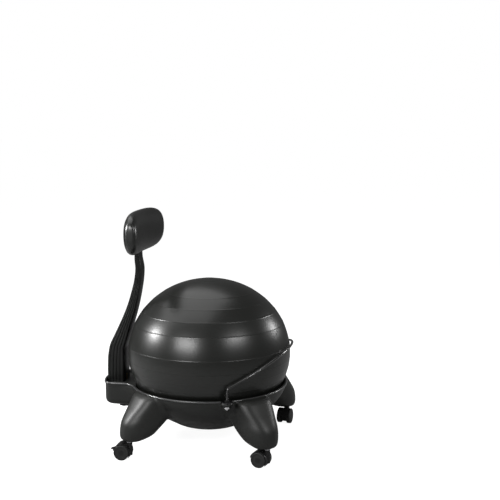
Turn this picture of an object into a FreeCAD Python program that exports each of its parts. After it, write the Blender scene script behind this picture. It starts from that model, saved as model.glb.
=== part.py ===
import FreeCAD, Part
import math
import os

os.makedirs("parts", exist_ok=True)

# All sizes are in millimetres. The origin is on the floor under the ball's centre,
# +Z is up, the sitter faces -Y and the sitter's right hand is on the -X side.

# Ball
ball_radius = 275.0
ball_centre_z = 309.0
ball_rise = 249.0
ball_drop = 244.3
ball_skin_thickness = 1.6
valve_direction = 45.0
valve_height = 425.0
valve_boss_radius = 11.0
valve_boss_depth = 13.0
plug_head_radius = 8.0
plug_head_thickness = 2.2
plug_stem_radius = 4.4
plug_clearance = 0.15
plug_seat_gap = 0.5

# Base
rim_radius = 265.5
rim_height = 208.5
lip_radius = 3.2
wall = 4.0
dish_radius = 283.0
ball_seat_gap = 0.5
bowl_profile = [(0, 60), (88, 60), (116, 70), (143, 85), (175, 104), (202, 122), (238, 155), (257, 186)]
platform_half_width = 90.0
platform_rear = 360.0
platform_rear_radius = 200.0
platform_corner = 24.0
platform_blend_radius = 60.0
platform_bottom = 129.0
platform_floor = 197.0
platform_edge = 16.0
tray_front = 225.0
vent_radius = 3.0
vent_x = 50.0

# Legs and casters
stem_x = 240.0
front_stem_y = -235.0
rear_stem_y = 215.0
foot_height = 62.0
leg_top = 206.0
leg_points = 18
socket_depth = 44.0
sleeve_radius = 8.0
sleeve_flange_radius = 13.0
sleeve_flange_thickness = 1.5
stem_radius = 5.5
stem_fit = 0.06
wheel_radius = 25.0
wheel_width = 14.0
caster_width = 49.0
caster_trail = 22.0
axle_radius = 3.0
axle_fit = 0.05
hood_radius = 28.5
hood_top = 56.0
stem_length_in_hood = 34.0
stem_collar_radius = 9.5
grip_height = 8.0
hood_skin = 2.0
hood_half_width = 22.5
hood_boss_radius = 10.0
hood_boss_low = 14.0
web_half_width = 9.8
axle_hub_radius = 19.0
wheel_edge = 2.6
wheel_dish = 1.0
cap_radius = 9.0
cap_depth = 2.4
lever_pivot_x = 34.0
lever_pivot_z = 39.0
lever_hub_radius = 3.6
lever_pin_radius = 1.5
lever_half_width = 5.5
lever_thickness = 4.5
lever_length = 27.0
lever_droop = 16.0
casters = [
    # corner of the chair, stem x and y, turn of the wheels' side about +Z, brake lever
    ("right_rear", -stem_x, rear_stem_y, 90.0, True),
    ("right_front", -stem_x, front_stem_y, 75.0, False),
    ("left_front", stem_x, front_stem_y, 170.0, False),
    ("left_rear", stem_x, rear_stem_y, 62.0, True)]
lever_swing = 14.0

# Retaining bar
bar_radius = 4.0
bar_pin_x = 256.0
bar_pin_y = -110.0
bar_plane_z = 249.9
bar_slope = 28.6
bar_front_radius = 264.4
bar_front_offset = 69.6
bar_bend_radius = 11.0
bar_bottom = 186.0
lug_radius = 20.0
lug_top = 209.0
lug_thickness = 11.0
washer_radius = 19.0
washer_thickness = 2.0
collar_radius = 7.5
collar_height = 5.0
nut_across = 15.0
nut_height = 7.0

# Back support column
column_foot_z = platform_floor
column_foot_half_width = 38.0
column_neck_half_width = 25.0
column_wall = 4.0
column_step = 1.4
column_floor = 8.0
column_channel_top = 560.0
column_rib_heights = [270.0, 330.0, 390.0, 450.0, 505.0]
column_line = [
    # rear edge y, rear edge z, thickness
    (351.5, 197.0, 58.0), (351.5, 250.0, 59.0), (349.0, 292.0, 57.0), (342.5, 324.0, 52.0),
    (327.0, 357.0, 46.0), (313.0, 386.0, 40.0), (298.5, 417.0, 35.0), (280.5, 461.0, 30.0),
    (264.5, 513.0, 26.0), (254.5, 555.0, 23.0), (251.0, 590.0, 21.0), (253.5, 622.0, 18.0),
    (251.5, 650.0, 15.0), (247.8, 672.0, 13.5), (247.0, 690.0, 13.0), (247.0, 719.0, 13.0)]

# Back pad
pad_half_width = 185.0
pad_centre_z = 716.0
pad_height = 142.0
pad_depth = 60.0
pad_centre_y = 238.0
pad_sweep = 20.0
pad_wall = 3.0
pad_seam = 19.0
pad_roundness = 4.0
pad_stations = [-0.9992, -0.988, -0.94, -0.84, -0.68, -0.4, 0, 0.4, 0.68, 0.84, 0.94, 0.988, 0.9992]
pad_screw_x = [-95.0, 95.0]
pad_screw_z = [693.0, 739.0]
screw_sink = 7.0
screw_radius = 1.8
screw_length = 34.0
screw_fit = 0.1
screw_head_radius = 3.6
screw_head_height = 2.4
screw_post_radius = 5.5
pad_bolt_radius = 3.0
pad_bolt_block_radius = 9.0
pad_bolt_bite = 19.0
pad_bolt_gap = 0.05
pad_bolt_heights = [691.0, 712.0]

# Column clamp
clamp_y = 300.0
clamp_bolt_radius = 5.0
knob_radius = 20.0
knob_height = 19.0
knob_bottom = 106.0
knob_lobes = 7
knob_lobe_radius = 5.5
knob_lobe_reach = 23.5
knob_hub_radius = 11.0
knob_hub_height = 2.5
knob_washer_radius = 14.0
knob_gap = 0.35
knob_floor = 5.0
stud_reach = 20.0
washer_bore_fit = 0.4
insert_radius = 8.0
insert_length = 22.0

bore_fit = 0.06


def v(x, y, z):
    return FreeCAD.Vector(x, y, z)


up = v(0, 0, 1)


def save(shape, node):
    shape.exportStep("parts/" + node + ".step")


def cylinder(radius, height, base, axis=up):
    return Part.makeCylinder(radius, height, base, axis)


def tube(outer, inner, height, base, axis=up):
    return cylinder(outer, height, base, axis).cut(cylinder(inner, height, base, axis))


def box(x0, x1, y0, y1, z0, z1):
    return Part.makeBox(x1 - x0, y1 - y0, z1 - z0, v(x0, y0, z0))


def closed_spline(points):
    curve = Part.BSplineCurve()
    curve.interpolate(Points=points, PeriodicFlag=True)
    return Part.Wire([curve.toShape()])


def revolve_z(edges):
    face = Part.Face(Part.Wire(edges))
    return face.revolve(v(0, 0, 0), up, 360)


def mirror_x(shape):
    return shape.mirror(v(0, 0, 0), v(1, 0, 0))


def sweep_circle(path_edges, radius):
    path = Part.Wire(path_edges)
    start = path_edges[0].valueAt(path_edges[0].FirstParameter)
    direction = path_edges[0].tangentAt(path_edges[0].FirstParameter)
    section = Part.Wire([Part.Circle(start, direction, radius).toShape()])
    return path.makePipeShell([section], True, True)


# Ball

def ball_radius_at(z):
    reach = ball_rise if z > ball_centre_z else ball_drop
    return ball_radius * math.sqrt(max(0.0, 1.0 - ((z - ball_centre_z) / reach) ** 2))


def quarter_ellipse(width, height, upper):
    # arc in the XZ plane between the axis and the equator, measured from the longer half of the oval
    centre = v(0, 0, ball_centre_z)
    side, tip = centre + v(width, 0, 0), centre + v(0, 0, height)
    quarter = math.pi / 2
    if width >= height:
        start = 0.0 if upper else -quarter
        return Part.Arc(Part.Ellipse(side, tip, centre), start, start + quarter).toShape()
    start = 0.0 if upper else quarter
    return Part.Arc(Part.Ellipse(tip, side, centre), start, start + quarter).toShape()


def ellipsoid(width, rise, drop):
    top_arc = quarter_ellipse(width, rise, True)
    low_arc = quarter_ellipse(width, drop, False)
    axis_edge = Part.makeLine(v(0, 0, ball_centre_z - drop), v(0, 0, ball_centre_z + rise))
    return revolve_z([low_arc, top_arc, axis_edge])


def valve_frame():
    turn = math.radians(valve_direction)
    r = ball_radius_at(valve_height)
    slope_r = r / ball_radius ** 2
    slope_z = (valve_height - ball_centre_z) / ball_rise ** 2
    size = math.hypot(slope_r, slope_z)
    out = v(slope_r / size * math.cos(turn), slope_r / size * math.sin(turn), slope_z / size)
    point = v(r * math.cos(turn), r * math.sin(turn), valve_height)
    return point, out


def make_ball():
    outer = ellipsoid(ball_radius, ball_rise, ball_drop)
    t = ball_skin_thickness
    inner = ellipsoid(ball_radius - t, ball_rise - t, ball_drop - t)
    point, out = valve_frame()
    boss = cylinder(valve_boss_radius, valve_boss_depth, point - out * valve_boss_depth, out)
    body = outer.cut(inner).fuse(boss.common(outer))
    recess_depth = plug_head_thickness + plug_seat_gap + 0.1
    recess = cylinder(plug_head_radius + plug_seat_gap, recess_depth + 6, point - out * recess_depth, out)
    hole_start = point - out * (valve_boss_depth + 10)
    hole = cylinder(plug_stem_radius + plug_clearance, valve_boss_depth + 20, hole_start, out)
    save(body.cut(recess.fuse(hole)), "ball_skin")
    head = cylinder(plug_head_radius, plug_head_thickness, point - out * (recess_depth - 0.1), out)
    stem_height = valve_boss_depth - recess_depth + 1.0
    stem = cylinder(plug_stem_radius, stem_height, point - out * valve_boss_depth, out)
    save(head.fuse(stem).removeSplitter(), "valve_plug")


# Base

def bowl(inset, top):
    points = [v(max(r - inset, 0), 0, z + inset) for r, z in bowl_profile]
    points.append(v(rim_radius - lip_radius - inset, 0, top))
    flat = Part.makeLine(points[0], points[1])
    curve = Part.BSplineCurve()
    curve.interpolate(Points=points[1:], InitialTangent=v(1, 0, 0), FinalTangent=v(0.15, 0, 1))
    lid = Part.makeLine(points[-1], v(0, 0, top))
    axis_edge = Part.makeLine(v(0, 0, top), points[0])
    return revolve_z([flat, curve.toShape(), lid, axis_edge])


def leg(x, y, inset):
    reach = math.hypot(x, y)
    sections = [
        # height, outer end, half-width, squareness, inner end, inner half-width
        (foot_height, reach + 16, 36, 1.0, reach - 30, 28),
        (66, reach + 23, 40, 0.95, reach - 52, 39),
        (75, reach + 28, 41, 0.9, reach - 75, 55),
        (94, reach + 27, 43, 0.85, reach - 94, 72),
        (118, reach + 22, 45, 0.8, reach - 120, 81),
        (145, reach + 5, 50, 0.75, reach - 150, 81),
        (172, reach - 17, 57, 0.7, reach - 162, 78),
        (190, reach - 31, 61, 0.7, reach - 167, 72),
        (200, reach - 39, 61, 0.7, reach - 170, 66),
        (leg_top, reach - 50, 56, 0.7, reach - 170, 57)]
    squash = (leg_top - foot_height - 2 * inset) / (leg_top - foot_height)
    turn = math.atan2(y, x)
    wires = []
    for height, outer, half, squareness, inner, inner_half in sections:
        outer -= inset
        inner += inset
        middle, half_length = 0.5 * (outer + inner), 0.5 * (outer - inner)
        plan = []
        for i in range(leg_points):
            angle = 2 * math.pi * i / leg_points
            c, s = math.cos(angle), math.sin(angle)
            width = 0.5 * (half * (1 + c) + inner_half * (1 - c)) - inset
            plan.append((middle + half_length * math.copysign(abs(c) ** squareness, c),
                         width * math.copysign(abs(s) ** squareness, s)))
        z = foot_height + inset + (height - foot_height) * squash
        points = []
        for d, w in plan:
            x_turned = d * math.cos(turn) - w * math.sin(turn)
            y_turned = d * math.sin(turn) + w * math.cos(turn)
            points.append(v(x_turned, y_turned, z))
        wires.append(closed_spline(points))
    return Part.makeLoft(wires, True, False)


def rim_outline(inset):
    # right half first, from the front of the rim to the rear middle
    half = platform_half_width - inset
    radius = rim_radius - lip_radius - inset
    blend = platform_blend_radius + inset
    bow = platform_rear_radius - inset
    corner = platform_corner - inset
    bow_y = platform_rear - platform_rear_radius
    blend_x = half + blend
    blend_y = math.sqrt((radius + blend) ** 2 - blend_x ** 2)
    join = v(blend_x * radius / (radius + blend), blend_y * radius / (radius + blend), 0)
    gap = v(join.x - blend_x, join.y - blend_y, 0) + v(-blend, 0, 0)
    middle = v(blend_x, blend_y, 0) + gap.normalize() * blend
    side_start = v(half, blend_y, 0)
    corner_centre = v(half - corner, bow_y + math.sqrt((bow - corner) ** 2 - (half - corner) ** 2), 0)
    side_end = v(half, corner_centre.y, 0)
    across = v(corner_centre.x, corner_centre.y - bow_y, 0).normalize()
    rear_start = v(0, bow_y, 0) + across * bow
    corner_middle = corner_centre + (across + v(1, 0, 0)).normalize() * corner
    rear_middle = v(0, bow_y, 0) + (across + v(0, 1, 0)).normalize() * bow
    front_arc = Part.Arc(join, v(0, -radius, 0), v(-join.x, join.y, 0)).toShape()
    edges = [Part.Arc(v(0, bow_y + bow, 0), rear_middle, rear_start).toShape(),
             Part.Arc(rear_start, corner_middle, side_end).toShape(),
             Part.makeLine(side_end, side_start), Part.Arc(side_start, middle, join).toShape()]
    mirrored = [mirror_x(edge) for edge in edges]
    return edges, front_arc, mirrored


def plan_solid(inset, bottom, top):
    edges, front_arc, mirrored = rim_outline(inset)
    wire = Part.Wire(Part.__sortEdges__(edges + [front_arc] + mirrored))
    wire.translate(v(0, 0, bottom))
    return Part.Face(wire).extrude(v(0, 0, top - bottom))


def platform_block(inset, bottom, top):
    half = platform_half_width - inset
    return plan_solid(inset, bottom, top).common(box(-half, half, 150, 400, bottom, top))


def platform_flare(inset, top):
    low = rim_height - 20 + inset
    return plan_solid(inset, low, top).common(box(-140, 140, 200, 400, low, top))


def platform(top):
    block = platform_block(0, platform_bottom, top)
    low_edges = []
    for edge in block.Edges:
        if edge.BoundBox.ZMax < platform_bottom + 0.01 and edge.BoundBox.YMax > 200:
            low_edges.append(edge)
    return block.makeFillet(platform_edge, low_edges).fuse(platform_flare(0, top))


def platform_hollow(top):
    # the lowest step stands in from the rounded lower edge
    step = platform_edge * 0.6
    low = platform_block(wall + step * 0.6, platform_bottom + wall, platform_bottom + wall + step)
    high = platform_block(wall, platform_bottom + wall + step * 0.6, top)
    return low.fuse([high, platform_flare(wall, top)])


def stem_points():
    return [(-stem_x, rear_stem_y), (-stem_x, front_stem_y), (stem_x, front_stem_y), (stem_x, rear_stem_y)]


def dish(gap):
    # the bowl the ball rests in, a little wider than the ball; a gap above 0 gives the wall's outside
    width = dish_radius + gap
    drop = ball_drop + ball_seat_gap + gap
    top = rim_height + 8
    top_angle = math.acos((ball_centre_z - top) / drop)
    points = []
    for i in range(9):
        angle = top_angle * i / 8
        points.append(v(width * math.sin(angle), 0, ball_centre_z - drop * math.cos(angle)))
    curve = Part.BSplineCurve()
    curve.interpolate(Points=points, InitialTangent=v(1, 0, 0), FinalTangent=v(
        width * math.cos(top_angle), 0, drop * math.sin(top_angle)))
    lid = Part.makeLine(points[-1], v(0, 0, top))
    axis_edge = Part.makeLine(v(0, 0, top), points[0])
    return revolve_z([curve.toShape(), lid, axis_edge])


def make_base():
    outer = bowl(0, rim_height).fuse([leg(x, y, 0) for x, y in stem_points()] + [platform(rim_height)])
    lug_base = lug_top - lug_thickness
    lugs = [cylinder(lug_radius, lug_thickness, v(x, bar_pin_y, lug_base)) for x in (-bar_pin_x, bar_pin_x)]
    lip = plan_solid(-lip_radius, rim_height - 2 * lip_radius, rim_height)
    lip_edges = [e for e in lip.Edges if abs(e.BoundBox.ZMax - e.BoundBox.ZMin) < 0.01]
    lip = lip.makeFillet(0.9 * lip_radius, lip_edges)
    outer = outer.fuse([lip] + lugs)
    hollow = bowl(wall, rim_height - wall - 1).fuse(
        [leg(x, y, wall) for x, y in stem_points()] + [platform_hollow(platform_floor - wall)])
    hollow = hollow.cut(dish(wall))
    keep = []
    for x, y in stem_points():
        keep.append(cylinder(sleeve_radius + wall, socket_depth + wall, v(x, y, foot_height)))
    clamp_base = v(0, clamp_y, platform_bottom)
    keep.append(cylinder(clamp_bolt_radius + 7, platform_floor - platform_bottom, clamp_base))
    hollow = hollow.cut(keep + lugs)
    tray_box = box(-140, 140, tray_front, 400, platform_floor - 7, rim_height + 7)
    tray = plan_solid(wall, platform_floor, rim_height + 1).common(tray_box)
    cuts = [hollow, dish(0), tray]
    for x, y in stem_points():
        cuts.append(cylinder(sleeve_radius, socket_depth, v(x, y, foot_height - 1)))
    cuts.append(cylinder(clamp_bolt_radius + 0.5, 90, v(0, clamp_y, platform_bottom - 5)))
    cuts.append(cylinder(vent_radius, 20, v(vent_x, clamp_y, platform_bottom - 8)))
    for side in (-1, 1):
        cuts.append(cylinder(bar_radius + 0.3, 60, v(side * bar_pin_x, bar_pin_y, lug_top - 40)))
    shell = outer.cut(cuts)
    print("base valid", shell.isValid(), "solids", len(shell.Solids))
    save(shell, "base_shell")


# Caster stems and their sleeves, the same four times

def make_stems():
    sleeves = []
    stems = []
    rings = []
    for x, y in stem_points():
        foot = v(x, y, foot_height)
        bore = stem_radius + 1.0
        sleeve = cylinder(sleeve_radius, socket_depth - 1, foot)
        flange_base = foot - up * sleeve_flange_thickness
        sleeve = sleeve.fuse(cylinder(sleeve_flange_radius, sleeve_flange_thickness, flange_base))
        sleeve = sleeve.cut(cylinder(bore, socket_depth + 4, foot - up * 3))
        sleeves.append(sleeve.removeSplitter())
        low = hood_top - stem_length_in_hood
        high = foot_height + socket_depth - 4
        stem = cylinder(stem_radius, high - low, v(x, y, low))
        collar = cylinder(stem_collar_radius, foot_height - sleeve_flange_thickness - hood_top - 0.4,
                          v(x, y, hood_top + 0.4))
        groove = tube(stem_radius + 1, stem_radius - 0.9, grip_height, v(x, y, high - 14))
        stems.append(stem.fuse(collar).cut(groove).removeSplitter())
        ring = tube(bore - 0.02, stem_radius - 0.9, grip_height - 0.4, v(x, y, high - 13.8))
        split = box(-0.8, 0.8, 0, 12, -1, 40)
        split.translate(v(x, y, high - 20))
        rings.append(ring.cut(split))
    save(Part.makeCompound(sleeves), "stem_sleeves")
    save(Part.makeCompound(stems), "caster_stems")
    save(Part.makeCompound(rings), "grip_rings")


# Caster, modelled with its stem on the local axis, its wheels behind it along +X
# and its axle along Y, then turned and moved to its leg

def sector(radius, half_width, start, end):
    # a slice of a cylinder along Y about the axle, angles counted up from +X
    edges = [Part.makeLine(v(0, 0, 0), v(radius * math.cos(start), 0, radius * math.sin(start)))]
    middle = 0.5 * (start + end)
    points = [v(radius * math.cos(a), 0, radius * math.sin(a)) for a in (start, middle, end)]
    edges.append(Part.Arc(*points).toShape())
    edges.append(Part.makeLine(points[2], v(0, 0, 0)))
    solid = Part.Face(Part.Wire(edges)).extrude(v(0, 2 * half_width, 0))
    solid.translate(v(caster_trail, -half_width, wheel_radius))
    return solid


def lever_shape(grow):
    pivot = v(lever_pivot_x, 0, lever_pivot_z)
    half = lever_half_width + grow
    hub = cylinder(lever_hub_radius + grow, 2 * half, pivot - v(0, half, 0), v(0, 1, 0))
    arm = box(0, lever_length + grow, -half, half, -lever_thickness / 2 - grow, lever_thickness / 2 + grow)
    arm.rotate(v(0, 0, 0), v(0, 1, 0), lever_droop)
    arm.translate(pivot)
    return hub.fuse(arm).removeSplitter()


def make_hood(with_lever):
    start, end = math.radians(12), math.radians(214)
    canopy = sector(hood_radius, hood_half_width, start, end)
    canopy = canopy.cut(sector(hood_radius - hood_skin, hood_half_width + 1, start - 0.1, end + 0.1))
    web = sector(hood_radius - 0.5, web_half_width, start, end)
    axle_centre = v(caster_trail, 0, wheel_radius)
    hub = cylinder(axle_hub_radius, 2 * web_half_width, axle_centre - v(0, web_half_width, 0), v(0, 1, 0))
    boss = cylinder(hood_boss_radius, hood_top - hood_boss_low, v(0, 0, hood_boss_low))
    hood = canopy.fuse([web, hub, boss]).removeSplitter()
    stem_low = hood_top - stem_length_in_hood
    hood = hood.cut(cylinder(stem_radius + stem_fit, 60, v(0, 0, stem_low - 1)))
    hood = hood.cut(cylinder(axle_radius, 60, axle_centre - v(0, 30, 0), v(0, 1, 0)))
    if with_lever:
        pocket = []
        for share in (0.0, 0.25, 0.5, 0.75, 1.0):
            swung = lever_shape(0.6)
            swung.rotate(v(lever_pivot_x, 0, lever_pivot_z), v(0, 1, 0), share * lever_swing)
            pocket.append(swung)
        pin_hole = cylinder(lever_pin_radius, 40, v(lever_pivot_x, -20, lever_pivot_z), v(0, 1, 0))
        hood = hood.cut(pocket + [pin_hole])
    return hood


def make_wheel(side):
    # disc with rounded edges, a dished outer face and an axle bore
    inner_face = caster_width / 2 - wheel_width
    wheel = cylinder(wheel_radius, wheel_width, v(0, inner_face, 0), v(0, 1, 0))
    rim_edges = [e for e in wheel.Edges if isinstance(e.Curve, Part.Circle)]
    wheel = wheel.makeFillet(wheel_edge, rim_edges)
    outer_face = caster_width / 2
    wheel = wheel.cut(cylinder(wheel_radius - 5, 3, v(0, outer_face - wheel_dish, 0), v(0, 1, 0)))
    cap_seat = outer_face - wheel_dish - cap_depth
    wheel = wheel.cut(cylinder(cap_radius + 0.05, 10, v(0, cap_seat, 0), v(0, 1, 0)))
    wheel = wheel.cut(cylinder(axle_radius + axle_fit, 60, v(0, -10, 0), v(0, 1, 0)))
    cap = cylinder(cap_radius + 0.05, cap_depth - 0.4, v(0, cap_seat + 0.4, 0), v(0, 1, 0))
    dome = cylinder(cap_radius - 2, 0.5, v(0, outer_face - wheel_dish, 0), v(0, 1, 0))
    cap = cap.fuse(dome).removeSplitter()
    for shape in (wheel, cap):
        if side < 0:
            shape.rotate(v(0, 0, 0), v(0, 0, 1), 180)
        shape.translate(v(caster_trail, 0, wheel_radius))
    return wheel, cap


def make_casters():
    for name, x, y, direction, locks in casters:
        def place(shape, node):
            shape.rotate(v(0, 0, 0), up, direction)
            shape.translate(v(x, y, 0))
            save(shape, name + "_" + node)
        place(make_hood(locks), "hood")
        half = caster_width / 2 - wheel_dish - cap_depth - 0.3
        place(cylinder(axle_radius, 2 * half, v(caster_trail, -half, wheel_radius), v(0, 1, 0)), "axle")
        for side, letter in ((1, "a"), (-1, "b")):
            wheel, cap = make_wheel(side)
            place(wheel, "wheel_" + letter)
            place(cap, "cap_" + letter)
        if locks:
            pin_start = v(lever_pivot_x, -web_half_width, lever_pivot_z)
            bore = cylinder(lever_pin_radius + axle_fit, 40, pin_start - v(0, 10, 0), v(0, 1, 0))
            place(lever_shape(0).cut(bore), "lever")
            place(cylinder(lever_pin_radius, 2 * web_half_width, pin_start, v(0, 1, 0)), "lever_pin")


# Retaining bar: two upright ends and a loop round the ball in one sloping plane

def bar_path():
    slope = math.radians(bar_slope)
    out = v(0, -math.cos(slope), math.sin(slope))
    origin = v(0, bar_pin_y, bar_plane_z)
    centre = origin - out * bar_front_offset
    side = v(-bar_pin_x, 0, 0)
    distance = math.hypot(bar_pin_x, bar_front_offset)
    turn = math.atan2(bar_pin_x, bar_front_offset) - math.acos(bar_front_radius / distance)

    def on_loop(angle):
        across = v(-bar_front_radius * math.sin(angle), 0, 0)
        return centre + across + out * (bar_front_radius * math.cos(angle))

    pin_top = origin + side
    tangent_point = on_loop(turn)
    run = (tangent_point - pin_top).normalize()
    # the bend joins the upright end and the straight run
    half_turn = 0.5 * math.acos(run.dot(up))
    back_off = bar_bend_radius * math.tan(half_turn)
    bend_start = pin_top - up * back_off
    bend_end = pin_top + run * back_off
    inward = (run - up * run.dot(up)).normalize()
    bend_centre = bend_start + inward * bar_bend_radius
    bend_middle = bend_centre + (pin_top - bend_centre).normalize() * bar_bend_radius
    half = [Part.makeLine(v(-bar_pin_x, bar_pin_y, bar_bottom), bend_start),
            Part.Arc(bend_start, bend_middle, bend_end).toShape(),
            Part.makeLine(bend_end, tangent_point)]
    loop = Part.Arc(tangent_point, on_loop(0), on_loop(-turn)).toShape()
    other = []
    for a, b, c in ((tangent_point, None, bend_end), (bend_end, bend_middle, bend_start),
                    (bend_start, None, v(-bar_pin_x, bar_pin_y, bar_bottom))):
        flip = [v(-p.x, p.y, p.z) if p is not None else None for p in (a, b, c)]
        other.append(Part.makeLine(flip[0], flip[2]) if b is None else Part.Arc(*flip).toShape())
    return half + [loop] + other


def hexagon(across, height, base):
    points = []
    corner = across / math.sqrt(3)
    for i in range(7):
        angle = math.radians(60 * i)
        points.append(base + v(corner * math.cos(angle), corner * math.sin(angle), 0))
    return Part.Face(Part.makePolygon(points)).extrude(v(0, 0, height))


def make_bar():
    save(sweep_circle(bar_path(), bar_radius), "retaining_bar")
    washers, collars, nuts = [], [], []
    under = lug_top - lug_thickness
    for side in (-1, 1):
        x, y = side * bar_pin_x, bar_pin_y
        washers.append(tube(washer_radius, bar_radius + 0.2, washer_thickness, v(x, y, lug_top)))
        low_washer = v(x, y, under - washer_thickness)
        washers.append(tube(washer_radius - 6, bar_radius + 0.2, washer_thickness, low_washer))
        collars.append(tube(collar_radius, bar_radius, collar_height, v(x, y, lug_top + washer_thickness)))
        nut_top = under - washer_thickness
        nut = hexagon(nut_across, nut_height, v(x, y, nut_top - nut_height))
        dome = Part.makeSphere(nut_across / 2 - 0.6, v(x, y, nut_top - nut_height))
        below = cylinder(nut_across, nut_across, v(x, y, nut_top - nut_height - nut_across))
        nut = nut.fuse(dome.common(below))
        nut = nut.cut(cylinder(bar_radius, nut_top + 0.2 - bar_bottom, v(x, y, bar_bottom - 0.2)))
        nuts.append(nut.removeSplitter())
    save(Part.makeCompound(washers), "bar_washers")
    save(Part.makeCompound(collars), "bar_collars")
    save(Part.makeCompound(nuts), "cap_nuts")


# Back support column

def column_side(share_rear, share_front):
    # side profile; the shares are counted across the thickness, 0 at the rear edge and 1 at the front
    rear, front = [], []
    count = len(column_line)
    for i, (y, z, thick) in enumerate(column_line):
        before = column_line[max(i - 1, 0)]
        after = column_line[min(i + 1, count - 1)]
        dy, dz = after[0] - before[0], after[1] - before[1]
        size = math.hypot(dy, dz)
        ny, nz = -dz / size, dy / size
        if i == 0:
            ny, nz = -1.0, 0.0
        rear.append(v(0, y + ny * thick * share_rear, z + nz * thick * share_rear))
        front.append(v(0, y + ny * thick * share_front, z + nz * thick * share_front))
    rear_curve, front_curve = Part.BSplineCurve(), Part.BSplineCurve()
    rear_curve.interpolate(rear)
    front_curve.interpolate(front)
    edges = [rear_curve.toShape(), Part.makeLine(rear[-1], front[-1]), front_curve.toShape(),
             Part.makeLine(front[0], rear[0])]
    return Part.Face(Part.Wire(Part.__sortEdges__(edges)))


def column_front_outline(inset):
    low, high = column_foot_half_width - inset, column_neck_half_width - inset
    levels = [(197.0, low), (260.0, low), (340.0, low - 3), (430.0, 0.5 * (low + high)), (540.0, high),
              (640.0, high - 1), (column_line[-1][1] + 5, high - 2)]
    right = [v(w, 0, z) for z, w in levels]
    left = [v(-w, 0, z) for z, w in levels]
    right_curve, left_curve = Part.BSplineCurve(), Part.BSplineCurve()
    right_curve.interpolate(right)
    left_curve.interpolate(left)
    edges = [right_curve.toShape(), Part.makeLine(right[-1], left[-1]), left_curve.toShape(),
             Part.makeLine(left[0], right[0])]
    face = Part.Face(Part.Wire(Part.__sortEdges__(edges)))
    return face.extrude(v(0, 500, 0))


def column_layer(share_rear, share_front, inset):
    face = column_side(share_rear, share_front)
    half = column_foot_half_width + 5
    face.translate(v(-half, 0, 0))
    return face.extrude(v(2 * half, 0, 0)).common(column_front_outline(inset))


def make_column():
    whole = column_layer(0.0, 1.0, 2 * column_step)
    band = column_layer(0.14, 0.86, column_step)
    ridge = column_layer(0.36, 0.64, 0.0)
    column = whole.fuse([band, ridge])
    channel = column_layer(0.22, 1.3, column_wall + 2 * column_step)
    channel = channel.common(box(-60, 60, 0, 500, column_foot_z + column_floor, column_channel_top))
    column = column.cut(channel)
    ribs = []
    for z in column_rib_heights:
        rib = column_layer(0.1, 0.9, column_wall + 1).common(box(-60, 60, 0, 500, z, z + 3))
        ribs.append(rib)
    column = column.fuse(ribs)
    foot = v(0, clamp_y, column_foot_z)
    boss = cylinder(insert_radius + 4, 30, foot)
    column = column.fuse(boss).cut(cylinder(insert_radius, 26, foot - up))
    for z in pad_bolt_heights:
        column = column.cut(cylinder(pad_bolt_radius + 0.3, 80, v(0, 200, z), v(0, 1, 0)))
    save(column, "column")
    insert = tube(insert_radius, clamp_bolt_radius, insert_length, foot)
    save(insert, "column_insert")


def make_knob():
    axis_point = v(0, clamp_y, knob_bottom)
    knob = cylinder(knob_radius, knob_height, axis_point)
    for i in range(knob_lobes):
        angle = 2 * math.pi * i / knob_lobes
        lobe = axis_point + v(knob_lobe_reach * math.cos(angle), knob_lobe_reach * math.sin(angle), -1)
        knob = knob.cut(cylinder(knob_lobe_radius, knob_height + 2, lobe))
    hub = cylinder(knob_hub_radius, knob_hub_height, axis_point + up * knob_height)
    bore = cylinder(clamp_bolt_radius, knob_height + knob_hub_height + 1, axis_point + up * knob_floor)
    knob = knob.fuse(hub).cut(bore).removeSplitter()
    save(knob, "knob")
    stud_low = knob_bottom + knob_floor
    stud = cylinder(clamp_bolt_radius - bore_fit, column_foot_z + stud_reach - stud_low, v(0, clamp_y, stud_low))
    save(stud, "knob_stud")
    washer_low = knob_bottom + knob_height + knob_hub_height + knob_gap
    washer_height = platform_bottom - washer_low
    washer_bore = clamp_bolt_radius + washer_bore_fit
    save(tube(knob_washer_radius, washer_bore, washer_height, v(0, clamp_y, washer_low)), "knob_washer")


# Back pad: one oval section carried along a curve, cut into two shells at the seam

def pad_middle(x):
    return pad_centre_y - pad_sweep * (x / pad_half_width) ** 2


def pad_body(inset):
    wires = []
    for share in pad_stations:
        x = share * (pad_half_width - inset)
        fall = (1.0 - abs(share) ** pad_roundness) ** (1.0 / pad_roundness)
        half_height = (pad_height / 2 - inset) * fall
        half_depth = (pad_depth / 2 - inset) * fall
        centre_y = pad_middle(x)
        points = []
        for i in range(16):
            angle = 2 * math.pi * i / 16
            c, s = math.cos(angle), math.sin(angle)
            points.append(v(x, centre_y + half_depth * math.copysign(abs(c) ** 0.9, c),
                            pad_centre_z + half_height * math.copysign(abs(s) ** 0.9, s)))
        wires.append(closed_spline(points))
    return Part.makeLoft(wires, True, False)


def pad_behind(seam):
    # everything behind a curved upright surface
    points = []
    for i in range(-6, 7):
        x = i / 6 * (pad_half_width + 30)
        points.append(v(x, pad_middle(x) + seam, pad_centre_z - 120))
    curve = Part.BSplineCurve()
    curve.interpolate(points)
    edges = [curve.toShape(), Part.makeLine(points[-1], v(points[-1].x, 400, points[-1].z)),
             Part.makeLine(v(points[-1].x, 400, points[-1].z), v(points[0].x, 400, points[0].z)),
             Part.makeLine(v(points[0].x, 400, points[0].z), points[0])]
    return Part.Face(Part.Wire(edges)).extrude(v(0, 0, 240))


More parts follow.
